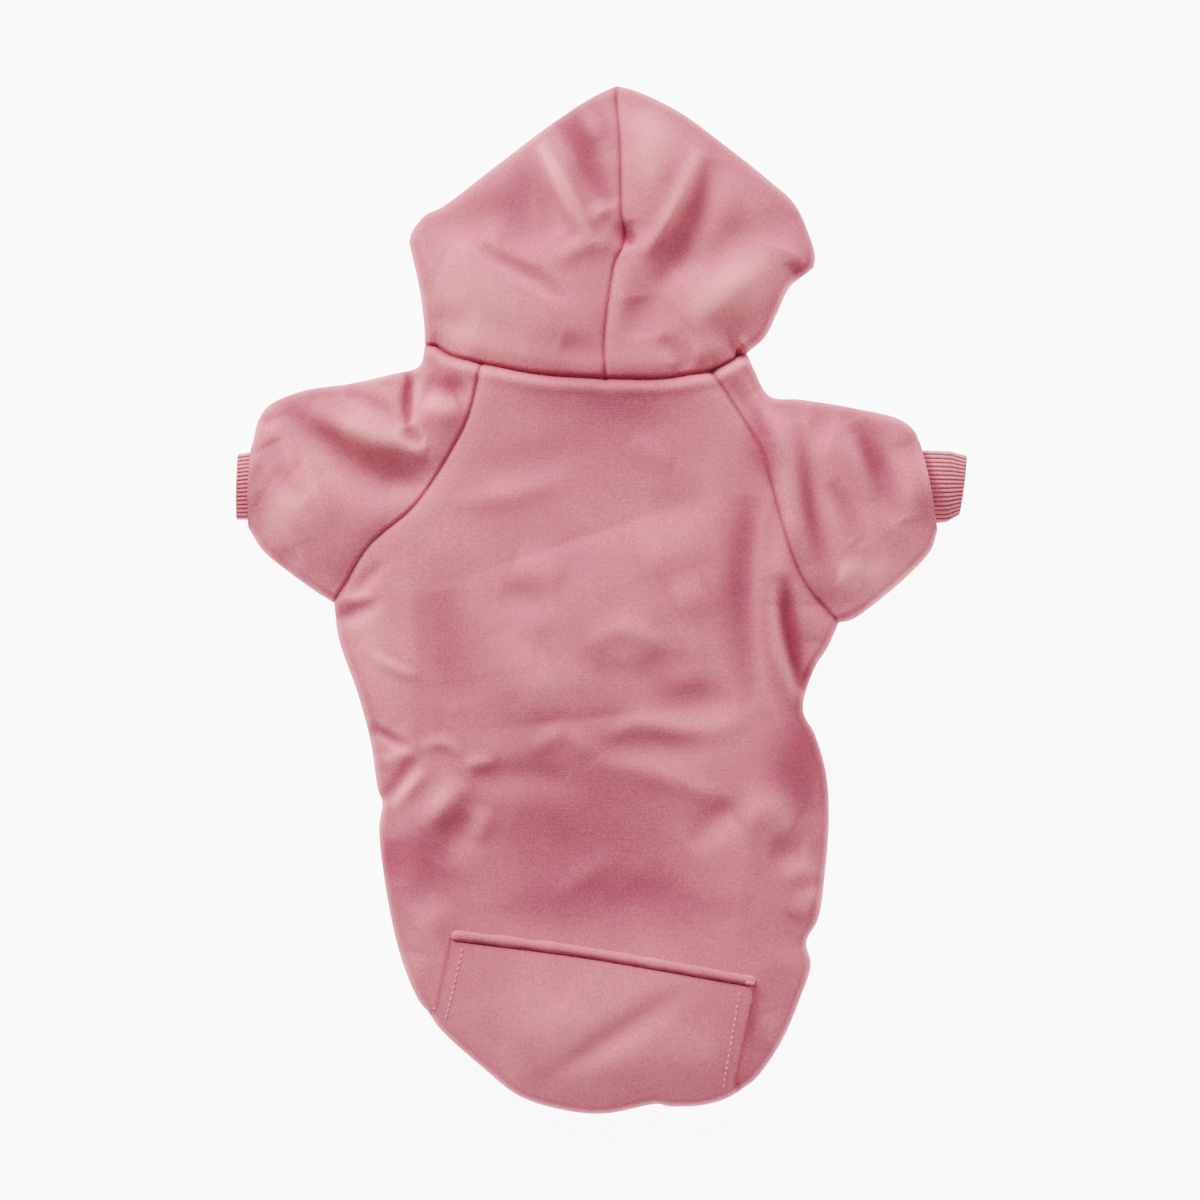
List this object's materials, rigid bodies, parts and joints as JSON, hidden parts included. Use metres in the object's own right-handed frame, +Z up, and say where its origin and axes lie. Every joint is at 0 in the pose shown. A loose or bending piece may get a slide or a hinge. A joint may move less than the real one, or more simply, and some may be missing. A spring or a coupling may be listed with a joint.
{
  "type": "dog hoodie",
  "caption": "Small dog's hoodie lying flat: raglan sleeves with ribbed cuffs, a seamed hood, a turned tail hem and a kangaroo pocket under a rolled welt",
  "frame": {"origin": "on the table under the middle of the garment's outline, as it lies on its belly side", "axes": "+Y runs from the tail to the hood's peak, +X to the right seen from above with the hood up, +Z up from the table"},
  "size_m": [0.3292, 0.4634, 0.0237],
  "materials": {
    "fleece": "matt fleece-backed knit",
    "rib": "matt rib knit"
  },
  "bodies": {
    "root": {"back_panel": "fleece", "belly_panel": "fleece", "sleeve_left": "fleece", "sleeve_right": "fleece", "cuff_left": "rib", "cuff_right": "rib", "hood_left": "fleece", "hood_right": "fleece", "pocket": "fleece", "pocket_welt": "fleece"}
  },
  "joints": []
}
